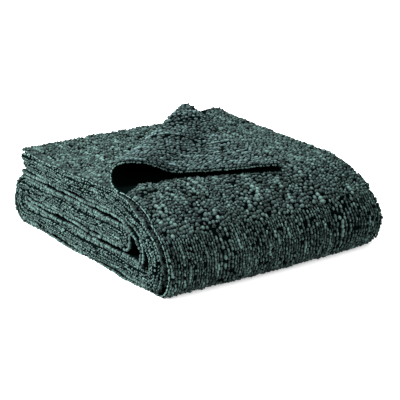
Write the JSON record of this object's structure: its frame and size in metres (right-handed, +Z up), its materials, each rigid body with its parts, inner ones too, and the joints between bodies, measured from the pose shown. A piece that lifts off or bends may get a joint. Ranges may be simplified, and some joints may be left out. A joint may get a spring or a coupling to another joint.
{
  "type": "folded waffle weave cotton blanket",
  "caption": "Large cotton blanket in an open slubby weave, folded into a thick square stack with its free top corner turned back over a loose diagonal roll.",
  "frame": {"origin": "centre of the folded stack's bounding box, on the surface it rests on", "axes": "+Z up; X along the big rounded front fold, from the open side with the selvedges at -X to the folded side at +X; +Y from the front fold to the back"},
  "size_m": [0.4457, 0.4906, 0.1805],
  "materials": {
    "cotton_cloth": "matt slubby cotton, dark bottle green with lighter slubs"
  },
  "bodies": {
    "root": {"folded_blanket": "cotton_cloth"}
  },
  "joints": []
}
